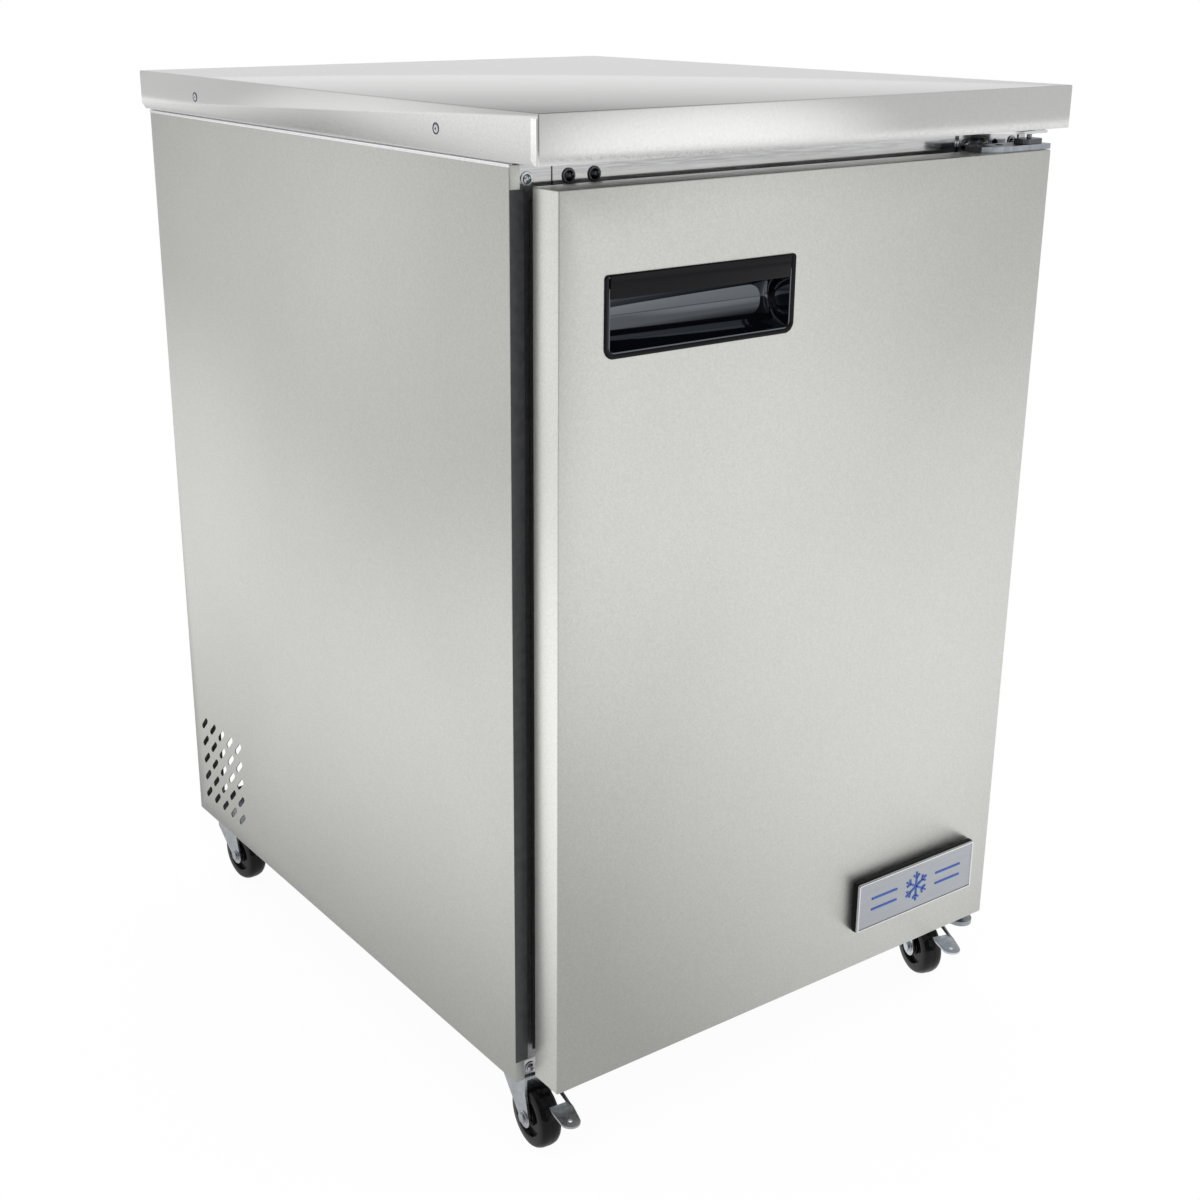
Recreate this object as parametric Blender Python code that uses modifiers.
"""Undercounter refrigerator with one right-hung door, four swivel casters and a rear machine compartment.

Metres, +Z up, the door faces -Y, and the origin is on the floor under the middle of the part.
Depths (the y of every cabinet shape) are measured back from the worktop's front edge, because each
cabinet object is a child of the empty "cabinet", which stands on that edge.
"""
import math

import bmesh
import bpy
from mathutils import Matrix, Vector

# --- Driving dimensions -------------------------------------------------------------------------
WIDTH = 0.600            # worktop, side to side
DEPTH = 0.735            # worktop, front to back
HEIGHT = 0.948           # floor to worktop
LIP = 0.038              # height of the worktop's turned-down edge
GAP = 0.0004             # clearance between neighbouring pieces

BODY_HALF = 0.295        # outer face of a side panel
BODY_FRONT = 0.0455      # depth of the side panels' front edge
BODY_BACK = 0.7255       # depth of the cabinet's back
BODY_BOTTOM = 0.0865     # height of the cabinet's underside
BODY_TOP = HEIGHT - LIP - 0.0025
FOLD = 0.010             # width of a side panel's folded edges
SHEET = 0.001            # sheet metal thickness

FRAME_DEPTH = 0.049      # depth of the face frame's front
FRAME_SHEET = 0.0012
OPENING_HALF = 0.243     # half width of the door opening
OPENING_BOTTOM = 0.129
OPENING_TOP = 0.856

LINER_HALF = 0.245
LINER_BOTTOM = 0.127
LINER_TOP = 0.858
LINER_BACK = 0.675
STEP_DEPTH = 0.470       # where the liner steps up over the machine compartment
STEP_TOP = 0.372
BAY_FRONT = 0.510        # front wall of the machine compartment
BAY_TOP = 0.3322
BAY_HALF = 0.2785

DOOR_HALF = 0.2795
DOOR_BOTTOM = 0.093
DOOR_TOP = 0.891
DOOR_FRONT = 0.002
DOOR_BACK = 0.036
DOOR_SHEET = 0.0009
HINGE_X = 0.263
HINGE_DEPTH = 0.015

WHEEL_RADIUS = 0.032
WHEEL_HALF = 0.0105
CASTER_X = 0.260
CASTER_DEPTHS = {"front": 0.078, "rear": 0.702}
CASTER_TRAIL = 0.018     # swivel axis to axle
CASTER_ANGLES = {"front_left": -5.0, "front_right": -16.0, "rear_left": 5.0, "rear_right": -4.0}
PEDAL_TIP = 0.085        # swivel axis to the end of a brake pedal

# The pedals reach a little past the worktop, and the origin is the middle of the whole.
PEDAL_PROUD = PEDAL_TIP * math.cos(math.radians(CASTER_ANGLES["front_left"])) - CASTER_DEPTHS["front"]
FRONT = (PEDAL_PROUD - DEPTH) / 2

# --- Materials: base colour, roughness, metallic ------------------------------------------------
FINISHES = {
    "stainless": ((0.62, 0.62, 0.60), 0.32, 1.0),
    "polished_stainless": ((0.70, 0.70, 0.70), 0.15, 1.0),
    "galvanised": ((0.55, 0.57, 0.58), 0.45, 1.0),
    "zinc": ((0.60, 0.64, 0.66), 0.35, 1.0),
    "foam": ((0.85, 0.74, 0.45), 0.95, 0.0),
    "white_plastic": ((0.88, 0.89, 0.90), 0.40, 0.0),
    "black_plastic": ((0.02, 0.02, 0.022), 0.30, 0.0),
    "black_rubber": ((0.03, 0.03, 0.03), 0.70, 0.0),
    "wheel_rubber": ((0.015, 0.015, 0.015), 0.25, 0.0),
    "aluminium": ((0.80, 0.81, 0.82), 0.35, 1.0),
    "black_enamel": ((0.02, 0.02, 0.02), 0.35, 0.0),
    "copper": ((0.80, 0.42, 0.26), 0.30, 1.0),
    "wire_coating": ((0.90, 0.91, 0.92), 0.35, 0.0),
}

YZ = Matrix(((0, 0, 1), (1, 0, 0), (0, 1, 0))).to_4x4()     # outline in depth and height, extruded in x
XZ = Matrix(((1, 0, 0), (0, 0, -1), (0, 1, 0))).to_4x4()    # outline in x and height, extruded in y
XY = Matrix.Identity(4)                                     # outline seen from above
ALONG_X = (0, math.pi / 2, 0)
ALONG_Y = (math.pi / 2, 0, 0)


# --- Scene helpers ------------------------------------------------------------------------------
def clear_scene():
    for obj in list(bpy.data.objects):
        bpy.data.objects.remove(obj, do_unlink=True)


def make_collection(name):
    collection = bpy.data.collections.new(name)
    bpy.context.scene.collection.children.link(collection)
    return collection


def make_material(name):
    colour, roughness, metallic = FINISHES[name]
    material = bpy.data.materials.new(name)
    material.use_nodes = True
    shader = material.node_tree.nodes["Principled BSDF"]
    shader.inputs["Base Color"].default_value = (*colour, 1)
    shader.inputs["Roughness"].default_value = roughness
    shader.inputs["Metallic"].default_value = metallic
    return material


def make_empty(name, location, parent=None, turn=0.0):
    empty = bpy.data.objects.new(name, None)
    empty.empty_display_size = 0.03
    empty.location = location
    empty.rotation_euler = (0, 0, turn)
    empty.parent = parent
    PARTS.objects.link(empty)
    return empty


def add(name, data, parent, finish=None):
    """Links a named piece, or a cutter when it has no finish, under its parent empty."""
    obj = bpy.data.objects.new(name, data)
    obj.parent = parent
    if finish is None:
        CUTTERS.objects.link(obj)
        obj.hide_render = True
        obj.display_type = "WIRE"
    else:
        PARTS.objects.link(obj)
        data.materials.clear()
        data.materials.append(MATERIALS[finish])
    return obj


def smooth(obj, angle=35):
    obj.data.shade_smooth()
    obj.data.set_sharp_from_angle(angle=math.radians(angle))


# --- Shape helpers ------------------------------------------------------------------------------
def box_mesh(name, x, y, z, open_side=None):
    """A box between two x, two y and two z values; open_side is the normal of a face left out."""
    mesh = bpy.data.meshes.new(name)
    shape = bmesh.new()
    bmesh.ops.create_cube(shape, size=1)
    size = (x[1] - x[0], y[1] - y[0], z[1] - z[0])
    bmesh.ops.scale(shape, vec=size, verts=shape.verts)
    middle = ((x[0] + x[1]) / 2, (y[0] + y[1]) / 2, (z[0] + z[1]) / 2)
    bmesh.ops.translate(shape, vec=middle, verts=shape.verts)
    if open_side:
        lost = [f for f in shape.faces if f.normal.dot(Vector(open_side)) > 0.9]
        bmesh.ops.delete(shape, geom=lost, context="FACES")
    shape.to_mesh(mesh)
    shape.free()
    return mesh


def box(name, x, y, z, parent, finish=None, radius=0.0):
    obj = add(name, box_mesh(name, x, y, z), parent, finish)
    if radius:
        bevel(obj, radius)
    return obj


def tray(name, x, y, z, open_side, sheet, radius, parent, finish):
    """A folded sheet box, open on one side, with rounded folds."""
    obj = add(name, box_mesh(name, x, y, z, open_side), parent, finish)
    bevel(obj, radius)
    solidify(obj, sheet)
    return obj


def bevel(obj, radius, segments=2, angle=40):
    modifier = obj.modifiers.new("rounded edges", "BEVEL")
    modifier.width = radius
    modifier.segments = segments
    modifier.limit_method = "ANGLE"
    modifier.angle_limit = math.radians(angle)


def solidify(obj, sheet, stepped=False):
    """Gives an open surface its sheet thickness inwards; a stepped shape needs the exact method."""
    modifier = obj.modifiers.new("sheet", "SOLIDIFY")
    modifier.thickness = sheet
    modifier.offset = -1
    modifier.use_even_offset = True
    if stepped:
        modifier.solidify_mode = "NON_MANIFOLD"
        modifier.nonmanifold_thickness_mode = "CONSTRAINTS"


def combine(obj, other, operation="DIFFERENCE"):
    modifier = obj.modifiers.new(operation.lower() + " " + other.name, "BOOLEAN")
    modifier.operation = operation
    modifier.object = other
    return obj


def arc(x, y, radius, start, end, steps):
    """Points on an arc, in degrees, both ends included."""
    angles = [math.radians(start + (end - start) * i / steps) for i in range(steps + 1)]
    return [(x + radius * math.cos(a), y + radius * math.sin(a)) for a in angles]


def rectangle(x0, x1, y0, y1):
    return [(x0, y0), (x1, y0), (x1, y1), (x0, y1)]


def circle(x, y, radius, steps=16):
    return arc(x, y, radius, 0, 360, steps)[:-1]


def rounded_rectangle(x0, x1, y0, y1, lower, upper=None, steps=3):
    """Lower and upper are the radii of the lower and upper corners."""
    upper = lower if upper is None else upper
    return (arc(x0 + lower, y0 + lower, lower, 180, 270, steps)
            + arc(x1 - lower, y0 + lower, lower, 270, 360, steps)
            + arc(x1 - upper, y1 - upper, upper, 0, 90, steps)
            + arc(x0 + upper, y1 - upper, upper, 90, 180, steps))


def plate(name, outlines, low, high, plane, parent, finish=None):
    """A flat plate: the first outline is its edge, the others are holes; low and high bound it."""
    curve = bpy.data.curves.new(name, "CURVE")
    curve.dimensions = "2D"
    curve.fill_mode = "BOTH"
    curve.extrude = (high - low) / 2
    for outline in outlines:
        spline = curve.splines.new("POLY")
        spline.points.add(len(outline) - 1)
        for point, (u, v) in zip(spline.points, outline):
            point.co = (u, v, 0, 1)
        spline.use_cyclic_u = True
    normal = plane.to_3x3() @ Vector((0, 0, 1))
    sign = 1 if sum(normal) > 0 else -1
    matrix = Matrix.Translation(normal * sign * (low + high) / 2) @ plane
    return mesh_from_curve(name, curve, matrix, parent, finish)


def mesh_from_curve(name, curve, matrix, parent, finish=None):
    """Turns a curve into a mesh with welded caps, so that it can be cut or joined."""
    guide = bpy.data.objects.new(name + " curve", curve)
    CUTTERS.objects.link(guide)
    evaluated = guide.evaluated_get(bpy.context.evaluated_depsgraph_get())
    mesh = bpy.data.meshes.new_from_object(evaluated)
    mesh.name = name
    mesh.transform(matrix)
    shape = bmesh.new()
    shape.from_mesh(mesh)
    bmesh.ops.remove_doubles(shape, verts=shape.verts, dist=0.00001)
    bmesh.ops.recalc_face_normals(shape, faces=shape.faces)
    shape.to_mesh(mesh)
    shape.free()
    bpy.data.objects.remove(guide, do_unlink=True)
    return add(name, mesh, parent, finish)


def wire_curve(name, points, radius, cyclic=False, sides=1):
    curve = bpy.data.curves.new(name, "CURVE")
    curve.dimensions = "3D"
    curve.bevel_depth = radius
    curve.bevel_resolution = sides
    curve.use_fill_caps = not cyclic
    spline = curve.splines.new("POLY")
    spline.points.add(len(points) - 1)
    for point, place in zip(spline.points, points):
        point.co = (*place, 1)
    spline.use_cyclic_u = cyclic
    return curve


def rod(name, radius, start, end, parent, finish=None, sides=16):
    """A round bar between two points."""
    mesh = bpy.data.meshes.new(name)
    shape = bmesh.new()
    axis = Vector(end) - Vector(start)
    bmesh.ops.create_cone(shape, cap_ends=True, segments=sides, radius1=radius, radius2=radius,
                          depth=axis.length)
    turn = axis.to_track_quat("Z", "Y").to_matrix().to_4x4()
    shape.transform(Matrix.Translation((Vector(start) + Vector(end)) / 2) @ turn)
    shape.to_mesh(mesh)
    shape.free()
    obj = add(name, mesh, parent, finish)
    smooth(obj)
    return obj


def rods(name, radius, ends, parent, finish=None, sides=6):
    """Several separate round bars in one mesh, to be joined to something else."""
    mesh = bpy.data.meshes.new(name)
    shape = bmesh.new()
    for start, end in ends:
        axis = Vector(end) - Vector(start)
        turn = axis.to_track_quat("Z", "Y").to_matrix().to_4x4()
        place = Matrix.Translation((Vector(start) + Vector(end)) / 2) @ turn
        bmesh.ops.create_cone(shape, cap_ends=True, segments=sides, radius1=radius, radius2=radius,
                              depth=axis.length, matrix=place)
    shape.to_mesh(mesh)
    shape.free()
    return add(name, mesh, parent, finish)


def turned(name, profile, steps, location, rotation, parent, finish=None, closed=False):
    """A turned shape: the profile's (radius, height) points run from top to bottom on the outside."""
    mesh = bpy.data.meshes.new(name)
    shape = bmesh.new()
    verts = [shape.verts.new((radius, 0, height)) for radius, height in profile]
    pairs = list(zip(verts, verts[1:]))
    if closed:
        pairs.append((verts[-1], verts[0]))
    for first, second in pairs:
        shape.edges.new((first, second))
    shape.to_mesh(mesh)
    shape.free()
    obj = add(name, mesh, parent, finish)
    obj.location = location
    obj.rotation_euler = rotation
    screw = obj.modifiers.new("turned", "SCREW")
    screw.steps = steps
    screw.render_steps = steps
    screw.use_merge_vertices = True
    screw.merge_threshold = 0.00001
    screw.use_smooth_shade = True
    return obj


def mirror_sign(side):
    return -1 if side.endswith("left") else 1


def span(side, near, far):
    """An x range on one side, from distances to the middle."""
    sign = mirror_sign(side)
    return tuple(sorted((sign * near, sign * far)))


# --- Cabinet shell ------------------------------------------------------------------------------
WORKTOP_SHEET = 0.0012
TAB = 0.0005             # the front edge wraps this far proud around the corners
TAB_DEPTH = 0.009


def build_worktop():
    half = WIDTH / 2 - TAB
    low = HEIGHT - LIP
    top = tray("worktop", (-half, half), (0, DEPTH), (low, HEIGHT), (0, 0, -1), WORKTOP_SHEET,
               0.0012, CABINET, "stainless")
    corner = 0.006
    notch = [(DEPTH - 0.012, low - 0.001), (DEPTH + 0.001, low - 0.001), (DEPTH + 0.001, low + corner),
             (DEPTH - 0.0005, low + corner)]
    combine(top, plate("worktop rear corner cut", [notch], -WIDTH, WIDTH, YZ, CABINET))
    chamfer = 0.004
    tab = [(0.0015, low), (TAB_DEPTH - chamfer, low), (TAB_DEPTH, low + chamfer),
           (TAB_DEPTH, HEIGHT - 0.004), (0.0015, HEIGHT - 0.004)]
    for side in ("left", "right"):
        x = span(side, half - 0.0006, WIDTH / 2)
        combine(top, plate("worktop tab " + side, [tab], *x, YZ, CABINET), "UNION")


SLOT_LENGTH = 0.022
SLOT_WIDTH = 0.0065
SLOT_LEAN = math.radians(45)
SLOT_PITCH = 0.0223
SLOT_COUNT = 5
SLOT_FIRST_DEPTH = 0.6065
SLOT_TOP = 0.2082


def slot_outline(depth, height):
    """A leaning slot with round ends, its top towards the front."""
    radius = SLOT_WIDTH / 2
    reach = SLOT_LENGTH / 2 - radius
    ends = arc(0, reach, radius, 0, 180, 3) + arc(0, -reach, radius, 180, 360, 3)
    turn = Matrix.Rotation(SLOT_LEAN, 2)
    return [tuple(Vector((depth, height)) + turn @ Vector(point)) for point in ends]


def build_side_panel(side):
    name = "side_panel_" + side
    x = span(side, BODY_HALF - FOLD, BODY_HALF)
    inward = (-mirror_sign(side), 0, 0)
    panel = tray(name, x, (BODY_FRONT, BODY_BACK), (BODY_BOTTOM, BODY_TOP), inward, SHEET, 0.0015,
                 CABINET, "stainless")
    flange = box(name + " rear flange", span(side, 0.263, BODY_HALF - FOLD + 0.002),
                 (BODY_BACK - SHEET, BODY_BACK), (BODY_BOTTOM + 0.004, BODY_TOP - 0.004), CABINET)
    combine(panel, flange, "UNION")
    cuts = span(side, BODY_HALF - 0.005, BODY_HALF + 0.005)
    for column in range(SLOT_COUNT):
        slots = [slot_outline(SLOT_FIRST_DEPTH + column * SLOT_PITCH, SLOT_TOP - row * SLOT_PITCH)
                 for row in range(SLOT_COUNT)]
        combine(panel, plate(f"{name} slots {column}", slots, *cuts, YZ, CABINET))


def build_front_frame():
    half = BODY_HALF - FOLD - GAP
    outer = rectangle(-half, half, BODY_BOTTOM + 0.002, BODY_TOP - 0.0015)
    inner = rectangle(-OPENING_HALF, OPENING_HALF, OPENING_BOTTOM, OPENING_TOP)
    plate("front_frame", [outer, inner], FRAME_DEPTH, FRAME_DEPTH + FRAME_SHEET, XZ, CABINET,
          "polished_stainless")


FOAM_FRONT = FRAME_DEPTH + FRAME_SHEET + GAP
PAN_TOP = BODY_BOTTOM + 0.0017


def build_cabinet_foam():
    """Side walls, floor, ceiling and back in one poured piece, stepped over the compartment."""
    half = BODY_HALF - SHEET - GAP
    back = BODY_BACK - 2 * SHEET - 2 * GAP
    bay_front = BAY_FRONT - 0.0008 - GAP
    bay_top = BAY_TOP + 0.0008 + GAP
    low = PAN_TOP + GAP
    high = BODY_TOP - SHEET - GAP
    side = [(FOAM_FRONT, low), (bay_front, low), (bay_front, bay_top), (back, bay_top), (back, high),
            (FOAM_FRONT, high)]
    foam = plate("cabinet_foam", [side], -half, half, YZ, CABINET, "foam")
    cover = box("foam under worktop", (-0.279, 0.279), (FOAM_FRONT, back - 0.002),
                (high - 0.002, HEIGHT - WORKTOP_SHEET - GAP), CABINET)
    combine(foam, cover, "UNION")
    cavity = liner_outline(GAP, FOAM_FRONT - 0.01)
    combine(foam, plate("foam cavity", [cavity], -LINER_HALF - GAP, LINER_HALF + GAP, YZ, CABINET))


def liner_outline(grow, front):
    return [(front, LINER_BOTTOM - grow), (STEP_DEPTH + grow, LINER_BOTTOM - grow),
            (STEP_DEPTH + grow, STEP_TOP - grow), (LINER_BACK + grow, STEP_TOP - grow),
            (LINER_BACK + grow, LINER_TOP + grow), (front, LINER_TOP + grow)]


def build_inner_liner():
    liner = plate("inner_liner", [liner_outline(0, FOAM_FRONT)], -LINER_HALF, LINER_HALF, YZ, CABINET,
                  "aluminium")
    shape = bmesh.new()
    shape.from_mesh(liner.data)
    front = [f for f in shape.faces if f.normal.y < -0.9]
    bmesh.ops.delete(shape, geom=front, context="FACES")
    shape.to_mesh(liner.data)
    shape.free()
    solidify(liner, SHEET, stepped=True)


def build_compartment_liner():
    front = BAY_FRONT - 0.0008
    top = BAY_TOP + 0.0008
    low = PAN_TOP + GAP
    back = BODY_BACK - 0.003
    angle = [(front, low), (BAY_FRONT, low), (BAY_FRONT, BAY_TOP), (back, BAY_TOP), (back, top),
             (front, top)]
    plate("compartment_liner", [angle], -BAY_HALF, BAY_HALF, YZ, CABINET, "galvanised")


def build_rear_panel():
    box("rear_panel", (-0.262, 0.262), (BODY_BACK - SHEET - 0.0003, BODY_BACK - 0.0003),
        (BAY_TOP, BODY_TOP - 0.0015), CABINET, "galvanised")


def build_base_pan():
    front = FOAM_FRONT
    back = BODY_BACK - 0.003
    low = BODY_BOTTOM + 0.0005
    rim = [(front, low), (back, low), (back, low + 0.014), (back - SHEET, low + 0.014),
           (back - SHEET, PAN_TOP), (front, PAN_TOP)]
    half = BODY_HALF - FOLD - GAP
    plate("base_pan", [rim], -half, half, YZ, CABINET, "galvanised")


# --- Shelves and their supports -----------------------------------------------------------------
SHELF_HALF = 0.2345
SHELF_FRONT = 0.075
SHELF_BACK = 0.655
SHELF_HEIGHTS = {"lower": 0.388, "upper": 0.590}
SHELF_RADIUS = 0.003
STRIP_DEPTHS = {"front": 0.110, "rear": 0.445}


def build_shelf(level):
    """A wire shelf: a round-cornered hoop, cross bars under it and thin wires on top."""
    name = "shelf_" + level
    z = SHELF_HEIGHTS[level]
    shelf_axis = make_empty(name + "_axis", (0, SHELF_FRONT, z), CABINET)
    depth = SHELF_BACK - SHELF_FRONT
    corners = rounded_rectangle(-SHELF_HALF, SHELF_HALF, 0, depth, 0.012, steps=2)
    hoop = wire_curve(name, [(x, y, 0) for x, y in corners], SHELF_RADIUS, cyclic=True)
    shelf = mesh_from_curve(name, hoop, Matrix.Identity(4), shelf_axis, "wire_coating")
    bars = [((-SHELF_HALF, depth * f, -0.0015), (SHELF_HALF, depth * f, -0.0015)) for f in (0.25, 0.75)]
    combine(shelf, rods(name + " bars", 0.0025, bars, shelf_axis), "UNION")
    count = 9
    places = [-SHELF_HALF + 2 * SHELF_HALF * (i + 1) / (count + 1) for i in range(count)]
    wires = [((x, 0, 0.0016), (x, depth, 0.0016)) for x in places]
    combine(shelf, rods(name + " wires", 0.002, wires, shelf_axis, sides=5), "UNION")


def build_shelf_support(row, side):
    """A slotted strip on the liner's side wall, with a clip under each shelf."""
    name = f"shelf_support_{row}_{side}"
    depth = STRIP_DEPTHS[row]
    wall = LINER_HALF - SHEET - GAP
    strip = box(name, span(side, wall - 0.004, wall), (depth - 0.007, depth + 0.007), (0.150, 0.835),
                CABINET, "aluminium")
    for z in SHELF_HEIGHTS.values():
        top = z - SHELF_RADIUS - GAP
        clip = box(f"{name} clip {z}", span(side, wall - 0.014, wall - 0.003),
                   (depth - 0.005, depth + 0.005), (top - 0.010, top), CABINET)
        combine(strip, clip, "UNION")


# --- Evaporator and controls --------------------------------------------------------------------
COVER_FRONT = 0.588
COVER_BACK = LINER_BACK - SHEET - GAP
COVER_HALF = 0.175
COVER_BOTTOM = 0.612
COVER_TOP = LINER_TOP - SHEET - GAP
EVAP_FAN = (-0.065, 0.735)    # x and height of the fan's middle


def build_evaporator():
    cover = tray("evaporator_cover", (-COVER_HALF, COVER_HALF), (COVER_FRONT, COVER_BACK),
                 (COVER_BOTTOM, COVER_TOP), (0, 1, 0), 0.0012, 0.004, CABINET, "white_plastic")
    x, z = EVAP_FAN
    port = rod("evaporator port", 0.070, (x, COVER_FRONT - 0.01, z), (x, COVER_FRONT + 0.01, z), CABINET,
               sides=24)
    combine(cover, port)
    vents = [rectangle(0.045, 0.155, 0.650 + 0.018 * i, 0.658 + 0.018 * i) for i in range(5)]
    combine(cover, plate("evaporator vents", vents, COVER_FRONT - 0.01, COVER_FRONT + 0.01, XZ, CABINET))
    build_fin_block("evaporator_coil", (0.650, 0.670), (-0.165, 0.165), (0.625, 0.845), 22, "front")
    turned("evaporator_fan_motor", motor_profile(0.020, 0.025), 16, (x, 0.646, z), ALONG_Y, CABINET,
           "black_enamel")
    axis = make_empty("evaporator_fan_axis", (x, 0.604, z), CABINET)
    build_fan("evaporator_fan_blade", axis, ALONG_Y, 0.062, 0.013, 0.022)


def motor_profile(radius, length):
    """A can with a stepped nose; the nose points up the turning axis."""
    nose = radius * 0.45
    return [(0, length + 0.004), (nose, length + 0.004), (nose, length), (radius * 0.9, length),
            (radius, length * 0.9), (radius, length * 0.1), (radius * 0.9, 0), (0, 0)]


def build_fin_block(name, across, along, height, fins, face):
    """A finned heat exchanger as one comb: a solid core with thin fins standing on it."""
    core = across[0] + (across[1] - across[0]) * 0.45
    pitch = (along[1] - along[0]) / (fins - 0.5)
    outline = [(across[1], along[0]), (across[1], along[1])]
    for i in reversed(range(fins)):
        start = along[0] + i * pitch
        outline += [(core, start + pitch / 2), (across[0], start + pitch / 2), (across[0], start),
                    (core, start)]
    outline = outline[:-1] + [(core, along[0])]
    if face == "front":
        outline = [(v, u) for u, v in outline]
    plate(name, [outline], *height, XY, CABINET, "aluminium")


def build_fan(name, axis, turn, radius, hub, depth):
    """A hub with pitched blades on its turning axis."""
    profile = [(0, depth / 2), (hub * 0.8, depth / 2), (hub, depth * 0.35), (hub, -depth / 2),
               (0, -depth / 2)]
    fan = turned(name, profile, 15, (0, 0, 0), turn, axis, "black_plastic")
    mesh = bpy.data.meshes.new(name + " blades")
    shape = bmesh.new()
    blades = 5
    size = (radius - hub * 0.6, radius * 0.62, 0.0014)
    for i in range(blades):
        place = (Matrix.Rotation(2 * math.pi * i / blades, 4, "Z")
                 @ Matrix.Translation((hub * 0.6 + size[0] / 2, 0, 0))
                 @ Matrix.Rotation(math.radians(26), 4, "X")
                 @ Matrix.Diagonal((*size, 1)))
        bmesh.ops.create_cube(shape, size=1, matrix=place)
    shape.to_mesh(mesh)
    shape.free()
    cutter = add(name + " blades", mesh, axis)
    cutter.rotation_euler = turn
    combine(fan, cutter, "UNION")


PANEL_X = (0.055, 0.145)
PANEL_Z = (0.765, 0.800)
BUTTON_XS = {"set": 0.068, "up": 0.082, "down": 0.096}
BUTTON_Z = 0.7745
BUTTON_RADIUS = 0.0035


def build_controller():
    """A small temperature controller on the evaporator cover, with three push buttons."""
    front = COVER_FRONT - 0.009
    housing = box("controller_housing", PANEL_X, (front, COVER_FRONT - GAP), PANEL_Z, CABINET,
                  "black_plastic", 0.0015)
    combine(housing, box("display recess", (0.064, 0.136), (front - 0.001, front + 0.0015),
                         (0.781, 0.795), CABINET))
    for label, x in BUTTON_XS.items():
        bore = rod("bore " + label, BUTTON_RADIUS + GAP, (x, front - 0.01, BUTTON_Z),
                   (x, front + 0.005, BUTTON_Z), CABINET, sides=12)
        combine(housing, bore)
        axis = make_empty("button_axis_" + label, (x, front, BUTTON_Z), CABINET)
        rod("controller_button_" + label, BUTTON_RADIUS, (0, -0.0018, 0), (0, 0.0032, 0), axis,
            "white_plastic", 12)


# --- Machine compartment ------------------------------------------------------------------------
FLOOR = PAN_TOP + GAP
MACHINE_DEPTH = 0.612     # middle of the compressor, the fan and the condenser
CONDENSER_X = (-0.215, -0.1655)
SHROUD_X = (-0.165, -0.133)
COMPRESSOR_X = 0.130


def build_compressor():
    """A hermetic shell on a foot plate with four rubber feet."""
    radius = 0.070
    top = [(radius * math.sin(math.radians(a)), 0.120 + 0.050 * math.cos(math.radians(a)))
           for a in range(0, 91, 18)]
    seam = [(radius, 0.078), (radius + 0.003, 0.078), (radius + 0.003, 0.073), (radius, 0.073)]
    bottom = [(radius * math.cos(math.radians(a)), 0.035 - 0.028 * math.sin(math.radians(a)))
              for a in range(0, 91, 22)]
    bottom.append((0, 0.007))
    shell = turned("compressor", top + seam + bottom, 16, (COMPRESSOR_X, MACHINE_DEPTH, FLOOR + 0.006),
                   (0, 0, 0), CABINET, "black_enamel")
    foot = box("compressor foot plate", (COMPRESSOR_X - 0.085, COMPRESSOR_X + 0.085),
               (MACHINE_DEPTH - 0.055, MACHINE_DEPTH + 0.055), (FLOOR + 0.012, FLOOR + 0.015), CABINET)
    combine(shell, foot, "UNION")
    ends = []
    for dx in (-0.075, 0.075):
        for dy in (-0.045, 0.045):
            place = (COMPRESSOR_X + dx, MACHINE_DEPTH + dy)
            ends.append(((*place, FLOOR), (*place, FLOOR + 0.020)))
    combine(shell, rods("compressor feet", 0.008, ends, CABINET, sides=8), "UNION")


def build_condenser():
    depths = (MACHINE_DEPTH - 0.085, MACHINE_DEPTH + 0.085)
    build_fin_block("condenser_coil", CONDENSER_X, depths, (FLOOR, 0.296), 20, "side")
    shroud = tray("condenser_shroud", SHROUD_X, (depths[0] - 0.002, depths[1] + 0.002), (FLOOR, 0.298),
                  (-1, 0, 0), SHEET, 0.002, CABINET, "galvanised")
    middle = (SHROUD_X[1], MACHINE_DEPTH, 0.194)
    hole = rod("shroud hole", 0.073, (middle[0] - 0.01, *middle[1:]), (middle[0] + 0.01, *middle[1:]),
               CABINET, sides=24)
    combine(shroud, hole)
    axis = make_empty("condenser_fan_axis", middle, CABINET)
    build_fan("condenser_fan_blade", axis, ALONG_X, 0.068, 0.015, 0.020)
    towards_fan = (0, -math.pi / 2, 0)
    motor = turned("condenser_fan_motor", motor_profile(0.026, 0.045), 16,
                   (-0.070, MACHINE_DEPTH, middle[2]), towards_fan, CABINET, "black_enamel")
    near, far = SHROUD_X[1] + GAP, -0.096
    staple = [(near, 0.104), (near, 0.098), (far, 0.098), (far, 0.290), (near, 0.290), (near, 0.284),
              (far - 0.003, 0.284), (far - 0.003, 0.104)]
    bracket = plate("fan motor bracket", [staple], MACHINE_DEPTH - 0.008, MACHINE_DEPTH + 0.008, XZ,
                    CABINET)
    combine(motor, bracket, "UNION")


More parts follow.
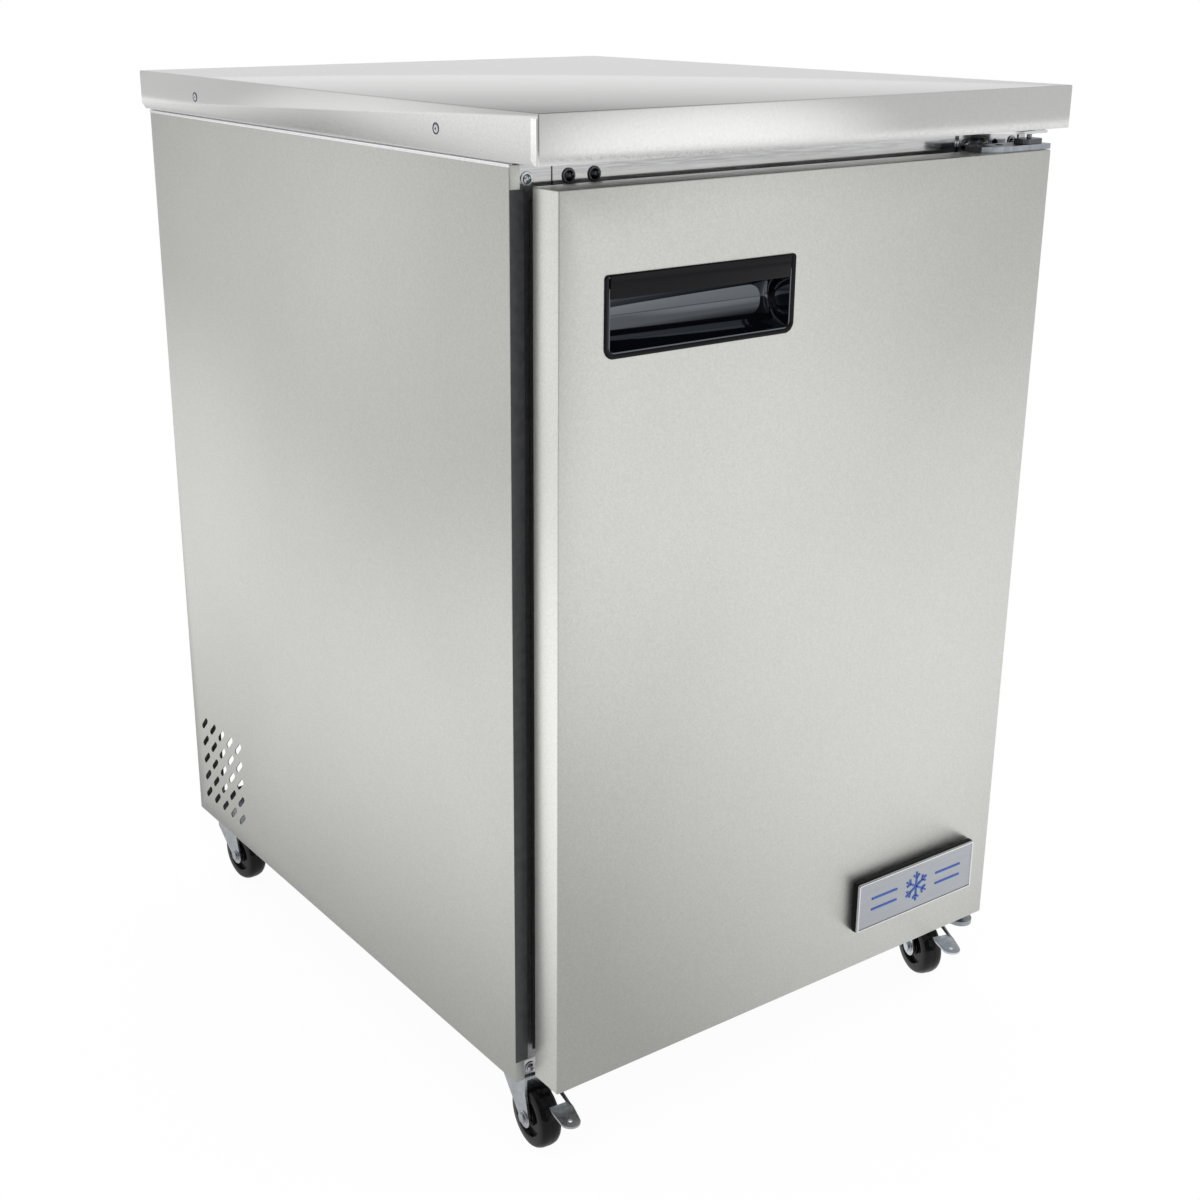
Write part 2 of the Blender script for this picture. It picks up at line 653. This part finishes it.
def build_piping():
    """The discharge line from the compressor's top to the condenser, with the filter drier in it."""
    high = 0.313
    points = [(COMPRESSOR_X, MACHINE_DEPTH, FLOOR + 0.1765), (COMPRESSOR_X, MACHINE_DEPTH, high - 0.008),
              (COMPRESSOR_X - 0.008, MACHINE_DEPTH, high), (-0.182, MACHINE_DEPTH, high),
              (-0.190, MACHINE_DEPTH, high - 0.008), (-0.190, MACHINE_DEPTH, 0.2965)]
    curve = wire_curve("refrigerant_piping", points, 0.003)
    pipe = mesh_from_curve("refrigerant_piping", curve, Matrix.Identity(4), CABINET, "copper")
    profile = [(0, 0.040), (0.004, 0.040), (0.009, 0.030), (0.009, -0.030), (0.004, -0.040), (0, -0.040)]
    drier = turned("filter drier", profile, 12, (0.0, MACHINE_DEPTH, high), ALONG_X, CABINET)
    combine(pipe, drier, "UNION")


def build_condensate_pan():
    tray("condensate_pan", (-0.122, 0.035), (MACHINE_DEPTH - 0.070, MACHINE_DEPTH + 0.085),
         (FLOOR, FLOOR + 0.008), (0, 0, 1), 0.0012, 0.002, CABINET, "black_plastic")


def build_power_cord():
    """The cord leaves the compartment's front wall and is coiled at its right, with a moulded plug."""
    turns = 2
    steps = 10
    points = [(0.236, BAY_FRONT + GAP, 0.270), (0.236, BAY_FRONT + 0.020, 0.270)]
    for i in range(turns * steps + 1):
        angle = math.pi / 2 - 2 * math.pi * i / steps
        points.append((0.236 + 0.012 * i / steps, MACHINE_DEPTH + 0.075 * math.cos(angle),
                       0.195 + 0.075 * math.sin(angle)))
    points.append((0.260, MACHINE_DEPTH + 0.020, 0.268))
    curve = wire_curve("power_cord", points, 0.0038)
    cord = mesh_from_curve("power_cord", curve, Matrix.Identity(4), CABINET, "black_rubber")
    plug = box("plug", (0.251, 0.269), (MACHINE_DEPTH + 0.018, MACHINE_DEPTH + 0.048), (0.257, 0.279),
               CABINET, radius=0.002)
    combine(cord, plug, "UNION")
    blades = [((0.260, MACHINE_DEPTH + 0.046, z), (0.260, MACHINE_DEPTH + 0.064, z))
              for z in (0.262, 0.274)]
    combine(cord, rods("plug blades", 0.002, blades, CABINET), "UNION")


# --- Hinges -------------------------------------------------------------------------------------
PIN_RADIUS = 0.0025
HINGE_PLATE = 0.005
FLANGE_BACK = FRAME_DEPTH - GAP
FLANGE = 0.002
HINGE_END = 0.2840        # right end of both hinge brackets
LOWER_PIN_RADIUS = 0.004


def build_upper_hinge():
    """A fixed angle bracket under the worktop's edge; its pin stands on the door's hinge plate."""
    arm = (0.9060, 0.9085)
    outline = [(0.215, FLANGE_BACK), (HINGE_END, FLANGE_BACK), (HINGE_END, 0.030), (0.277, 0.006),
               (0.245, 0.006), (0.222, 0.030)]
    bracket = plate("upper_hinge_bracket", [outline, circle(HINGE_X, HINGE_DEPTH, PIN_RADIUS + GAP, 12)],
                    *arm, XY, CABINET, "polished_stainless")
    edge = rounded_rectangle(0.204, HINGE_END, 0.8865, arm[0] + 0.001, 0.003)
    flange = plate("upper hinge flange", [edge], FLANGE_BACK - FLANGE, FLANGE_BACK, XZ, CABINET)
    combine(bracket, flange, "UNION")


def build_lower_hinge():
    """A fixed angle bracket under the door, with the pin that carries the door."""
    arm = (0.0805, 0.0855)
    tip = arc(HINGE_X, HINGE_DEPTH, 0.0125, 180, 360, 8)
    outline = [(HINGE_END, FLANGE_BACK), (0.232, FLANGE_BACK)] + tip
    bracket = plate("lower_hinge_bracket", [outline], *arm, XY, CABINET, "zinc")
    edge = rounded_rectangle(0.204, HINGE_END, arm[0], 0.1030, 0.003)
    flange = plate("lower hinge flange", [edge], FLANGE_BACK - FLANGE, FLANGE_BACK, XZ, CABINET)
    combine(bracket, flange, "UNION")
    pin = rod("lower hinge pin", LOWER_PIN_RADIUS, (HINGE_X, HINGE_DEPTH, arm[0] + 0.001),
              (HINGE_X, HINGE_DEPTH, 0.110), CABINET)
    combine(bracket, pin, "UNION")


# --- Door ---------------------------------------------------------------------------------------
HANDLE_X = (-0.236, -0.035)
HANDLE_Z = (0.757, 0.824)
BADGE_X = (0.083, 0.2495)
BADGE_Z = (0.1366, 0.1905)
BADGE_PROUD = 0.0085      # how far the badge stands off the door
LINER_BORDER = 0.056      # flat edge of the door liner, behind the gasket
LINER_SLOPE = 0.004
LINER_RAISE = 0.016


def build_door():
    """All door shapes are children of the hinge axis; their coordinates stay those of the cabinet."""
    axis = make_empty("door_axis", (HINGE_X, HINGE_DEPTH, 0), CABINET)
    shift = make_empty("door_shift", (-HINGE_X, -HINGE_DEPTH, 0), axis)
    build_door_skin(shift)
    build_door_foam(shift)
    build_door_liner(shift)
    build_door_gasket(shift)
    build_handle_cup(shift)
    build_badge(shift)
    build_door_hinge(shift)


def build_door_skin(parent):
    skin = tray("door_skin", (-DOOR_HALF, DOOR_HALF), (DOOR_FRONT, DOOR_BACK), (DOOR_BOTTOM, DOOR_TOP),
                (0, 1, 0), DOOR_SHEET, 0.0012, parent, "stainless")
    hole = rectangle(HANDLE_X[0] + 0.003, HANDLE_X[1] - 0.003, HANDLE_Z[0] + 0.003, HANDLE_Z[1] - 0.003)
    combine(skin, plate("handle hole", [hole], -0.01, 0.01, XZ, parent))
    combine(skin, rod("skin pin hole", LOWER_PIN_RADIUS + GAP, (HINGE_X, HINGE_DEPTH, DOOR_BOTTOM - 0.01),
                      (HINGE_X, HINGE_DEPTH, DOOR_BOTTOM + 0.01), parent))


def build_door_foam(parent):
    gap = DOOR_SHEET + GAP
    depths = (DOOR_FRONT + gap, DOOR_BACK - 2.5 * SHEET)
    heights = (DOOR_BOTTOM + gap, DOOR_TOP - gap)
    foam = box("door_foam", (-DOOR_HALF + gap, DOOR_HALF - gap), depths, heights, parent, "foam")
    pocket = box("handle pocket", (HANDLE_X[0] + 0.002, HANDLE_X[1] - 0.002), (0, 0.0315),
                 (HANDLE_Z[0] + 0.002, HANDLE_Z[1] - 0.002), parent)
    combine(foam, pocket)
    combine(foam, rod("foam pin hole", LOWER_PIN_RADIUS + GAP, (HINGE_X, HINGE_DEPTH, DOOR_BOTTOM - 0.01),
                      (HINGE_X, HINGE_DEPTH, 0.112), parent))


def build_door_liner(parent):
    """The door's inner sheet, with a shallow raised middle that stands inside the opening."""
    half = DOOR_HALF - DOOR_SHEET - GAP
    low = DOOR_BOTTOM + DOOR_SHEET + GAP
    high = DOOR_TOP - DOOR_SHEET - GAP
    centre = Vector((0, DOOR_BACK, (low + high) / 2))
    mesh = bpy.data.meshes.new("door_liner")
    shape = bmesh.new()
    bmesh.ops.create_grid(shape, x_segments=1, y_segments=1, size=0.5)
    upright = Matrix.Rotation(-math.pi / 2, 4, "X")
    shape.transform(Matrix.Translation(centre) @ Matrix.Diagonal((2 * half, 1, high - low, 1)) @ upright)
    bmesh.ops.recalc_face_normals(shape, faces=shape.faces)
    if shape.faces[:][0].normal.y < 0:
        bmesh.ops.reverse_faces(shape, faces=shape.faces)
    bmesh.ops.inset_region(shape, faces=shape.faces[:], thickness=LINER_BORDER, use_boundary=True)
    middle = min(shape.faces, key=lambda f: (f.calc_center_median() - centre).length)
    bmesh.ops.inset_region(shape, faces=[middle], thickness=LINER_SLOPE, depth=LINER_RAISE)
    shape.to_mesh(mesh)
    shape.free()
    liner = add("door_liner", mesh, parent, "aluminium")
    solidify(liner, SHEET, stepped=True)


def build_door_gasket(parent):
    outer = rounded_rectangle(-0.2675, 0.2675, 0.1055, 0.8785, 0.004, steps=2)
    inner = rectangle(-0.2495, 0.2495, 0.1235, 0.8605)
    gasket = plate("door_gasket", [outer, inner], DOOR_BACK + GAP, 0.0482, XZ, parent, "black_rubber")
    bevel(gasket, 0.0025, 1, 60)


SCOOP_DEPTH = 0.026
BAND = 0.0195            # height of the flat band over the handle's opening


def scoop_outline(grow):
    """Side view of the finger recess: flat roof, deep back, and a curve forward to the lower rim."""
    bottom = HANDLE_Z[0] + 0.0055 - grow
    top = HANDLE_Z[1] - 0.0055 + grow
    back = DOOR_FRONT + SCOOP_DEPTH + grow
    radius = 0.024
    curve = arc(back - radius, bottom + radius, radius, 270, 360, 5)
    return [(DOOR_FRONT - 0.005, bottom)] + curve + [(back, top), (DOOR_FRONT - 0.005, top)]


def build_handle_cup(parent):
    """A recessed pull moulded in one piece: a rim, a flat band on top and a scooped recess."""
    wall = 0.0015
    rim = rounded_rectangle(*HANDLE_X, *HANDLE_Z, 0.010, 0.004)
    cup = plate("handle_cup", [rim], DOOR_FRONT - 0.0015, DOOR_FRONT - GAP, XZ, parent, "black_plastic")
    inner_x = (HANDLE_X[0] + 0.0065, HANDLE_X[1] - 0.0065)
    outer_x = (inner_x[0] - wall, inner_x[1] + wall)
    shell = plate("cup shell", [scoop_outline(wall)], *outer_x, YZ, parent)
    front = box("cup shell trim", (-0.3, 0), (-0.02, DOOR_FRONT - 0.0008), (0.7, 0.9), parent)
    combine(shell, front)
    combine(cup, shell, "UNION")
    scoop = plate("cup scoop", [scoop_outline(0)], *inner_x, YZ, parent)
    band = box("cup band", (-0.3, 0), (-0.02, DOOR_FRONT + 0.0012), (HANDLE_Z[1] - BAND, 0.9), parent)
    combine(scoop, band)
    combine(cup, scoop)


def build_badge(parent):
    box("badge", BADGE_X, (DOOR_FRONT - BADGE_PROUD, DOOR_FRONT - 0.0003), BADGE_Z, parent, "aluminium",
        0.001)


def build_door_hinge(parent):
    low = DOOR_TOP + 0.0003
    front, back = 0.006, 0.034
    outline = [(0.283, front), (0.283, back), (0.199, back), (0.199, 0.0145), (0.217, front)]
    hole = circle(HINGE_X, HINGE_DEPTH, PIN_RADIUS + GAP, 12)
    plate("door_hinge_plate", [outline, hole], low, low + HINGE_PLATE, XY, parent, "zinc")
    bush_low = low + HINGE_PLATE + 0.0003
    bush = rounded_rectangle(HINGE_X - 0.0135, HINGE_X + 0.0125, HINGE_DEPTH - 0.008, HINGE_DEPTH + 0.010,
                             0.004, steps=1)
    plate("hinge_bush", [bush, hole], bush_low, bush_low + 0.0045, XY, parent, "black_plastic")
    profile = [(0, 0.9125), (0.0048, 0.9125), (0.0048, 0.9090), (PIN_RADIUS, 0.9090),
               (PIN_RADIUS, low + 0.0003), (0, low + 0.0003)]
    turned("upper_hinge_pin", profile, 12, (HINGE_X, HINGE_DEPTH, 0), (0, 0, 0), parent, "zinc")


# --- Casters ------------------------------------------------------------------------------------
PLATE_TOP = BODY_BOTTOM - GAP
CROWN = (0.0735, 0.0765)
LEG_INNER = WHEEL_HALF + 0.0012
LEG_OUTER = LEG_INNER + 0.0023
AXLE_RADIUS = 0.0035
KINGPIN_RADIUS = 0.004
LEVER_PIVOT = (0.008, 0.0685)    # ahead of the swivel axis, and height
LEVER_PIN = 0.0018


def build_caster(place):
    """Mounting plate, fork, axle and wheel; the fork points to -Y at no turn, as its trail does."""
    row, side = place.split("_")
    name = "caster_" + place
    x = mirror_sign(side) * CASTER_X
    swivel = make_empty(name + "_swivel", (x, CASTER_DEPTHS[row], 0), CABINET,
                        math.radians(CASTER_ANGLES[place]))
    wheel_axis = make_empty(name + "_axle_axis", (0, -CASTER_TRAIL, WHEEL_RADIUS), swivel)
    build_caster_plate(name, (x, CASTER_DEPTHS[row]))
    build_fork(name, swivel)
    build_axle(name, wheel_axis)
    build_wheel(name, wheel_axis)
    if row == "front":
        build_brake_lever("brake_lever_" + place, swivel)


def build_caster_plate(name, middle):
    """A square plate with the swivel bearing's boss and the kingpin riveted under the fork."""
    x, y = middle
    outline = rounded_rectangle(x - 0.023, x + 0.023, y - 0.023, y + 0.023, 0.004, steps=2)
    base = plate(name + "_plate", [outline], PLATE_TOP - 0.0025, PLATE_TOP, XY, CABINET, "zinc")
    profile = [(0, PLATE_TOP - 0.001), (0.019, PLATE_TOP - 0.001), (0.0205, PLATE_TOP - 0.0055),
               (0.017, CROWN[1] + GAP), (KINGPIN_RADIUS, CROWN[1] + GAP),
               (KINGPIN_RADIUS, CROWN[0] - GAP), (0.007, CROWN[0] - GAP), (0.006, CROWN[0] - 0.0028),
               (0, CROWN[0] - 0.0028)]
    kingpin = turned(name + " kingpin", profile, 12, (x, y, 0), (0, 0, 0), CABINET)
    combine(base, kingpin, "UNION")


def build_fork(name, swivel):
    """A folded fork: a crown over the wheel and two legs tapering to the axle."""
    end = 0.0105
    axle_y, axle_z = -CASTER_TRAIL, WHEEL_RADIUS
    shoulders = [(0.020, 0.058), (0.020, CROWN[1]), (-0.021, CROWN[1]), (-0.021, 0.058)]
    outline = shoulders + arc(axle_y, axle_z, end, 190, 352, 6)
    fork = plate(name + "_fork", [outline], -LEG_OUTER, LEG_OUTER, YZ, swivel, "zinc")
    room = box(name + " fork room", (-LEG_INNER, LEG_INNER), (-0.08, 0.06), (0, CROWN[0]), swivel)
    combine(fork, room)
    hole = rods(name + " fork hole", KINGPIN_RADIUS + GAP, [((0, 0, 0.06), (0, 0, 0.08))], swivel, sides=10)
    combine(fork, hole)
    bore = rods(name + " axle hole", AXLE_RADIUS + GAP,
                [((-0.03, axle_y, axle_z), (0.03, axle_y, axle_z))], swivel, sides=10)
    combine(fork, bore)
    if "front" in name:
        y, z = -LEVER_PIVOT[0], LEVER_PIVOT[1]
        pivot = rods(name + " pivot hole", LEVER_PIN + GAP, [((-0.03, y, z), (0.03, y, z))], swivel,
                     sides=8)
        combine(fork, pivot)


def build_axle(name, wheel_axis):
    half = LEG_OUTER + 0.0003
    head = half + 0.0032
    profile = [(0, head), (0.0055, head), (0.0055, half), (AXLE_RADIUS, half), (AXLE_RADIUS, -half),
               (0.0055, -half), (0.0055, -head), (0, -head)]
    turned(name + "_axle", profile, 12, (0, 0, 0), ALONG_X, wheel_axis, "zinc")


def build_wheel(name, wheel_axis):
    """A solid tyre with round shoulders, a sunk web on both sides and a hub."""
    bore = AXLE_RADIUS + GAP
    edge = WHEEL_HALF
    outer = [(bore, edge - 0.0005), (0.010, edge - 0.0005), (0.011, edge - 0.0035),
             (0.0195, edge - 0.0035), (0.0205, edge), (0.0280, edge), (WHEEL_RADIUS, edge - 0.0045)]
    profile = outer + [(r, -h) for r, h in reversed(outer)]
    turned(name + "_wheel", profile, 18, (0, 0, 0), ALONG_X, wheel_axis, "wheel_rubber", closed=True)


def build_brake_lever(name, swivel):
    """One arm on a cross pin, bent round ahead of the wheel into a foot pedal with a round end."""
    y, z = -LEVER_PIVOT[0], LEVER_PIVOT[1]
    axis = make_empty(name + "_axis", (0, y, z), swivel)
    near = LEG_OUTER + GAP
    far = near + 0.0021
    pedal_z = (0.0565 - z, 0.0585 - z)
    inset = 0.0003            # the arm ends inside the pedal's faces
    end = 0.0095
    middle = 0.0025           # the pedal's round end stands off centre, towards the arm
    swing = middle * math.tan(math.radians(-CASTER_ANGLES["front_left"]))
    tip = PEDAL_TIP - LEVER_PIVOT[0] - swing
    side = arc(0, 0, 0.0045, 60, 240, 6)
    low, high = pedal_z[0] + inset, pedal_z[1] - inset
    arm = side + [(-0.040, low), (-0.048, low), (-0.048, high), (-0.040, pedal_z[1] + 0.002)]
    nose = arc(middle, -(tip - end), end, 190, 350, 8)
    outline = [(far, -0.041), (-0.004, -0.041), (-0.0055, -0.049)] + nose + [(far, -0.049)]
    hole = circle(middle, -(tip - end), 0.0022, 10)
    lever = plate(name, [outline, hole], *pedal_z, XY, axis, "zinc")
    combine(lever, plate(name + " arm", [arm], near, far - inset, YZ, axis), "UNION")
    reach = far - 2 * inset
    pin = rods(name + " pin", LEVER_PIN, [((-reach, 0, 0), (reach, 0, 0))], axis, sides=10)
    combine(lever, pin, "UNION")


# --- Assembly -----------------------------------------------------------------------------------
clear_scene()
PARTS = make_collection("undercounter_refrigerator")
CUTTERS = make_collection("cutters")
MATERIALS = {finish: make_material(finish) for finish in FINISHES}
CABINET = make_empty("cabinet", (0, FRONT, 0))

build_worktop()
build_side_panel("left")
build_side_panel("right")
build_front_frame()
build_cabinet_foam()
build_inner_liner()
build_compartment_liner()
build_rear_panel()
build_base_pan()
for shelf_level in SHELF_HEIGHTS:
    build_shelf(shelf_level)
for strip_row in STRIP_DEPTHS:
    for strip_side in ("left", "right"):
        build_shelf_support(strip_row, strip_side)
build_evaporator()
build_controller()
build_compressor()
build_condenser()
build_piping()
build_condensate_pan()
build_power_cord()
build_upper_hinge()
build_lower_hinge()
build_door()
for caster_place in CASTER_ANGLES:
    build_caster(caster_place)
bpy.context.view_layer.update()
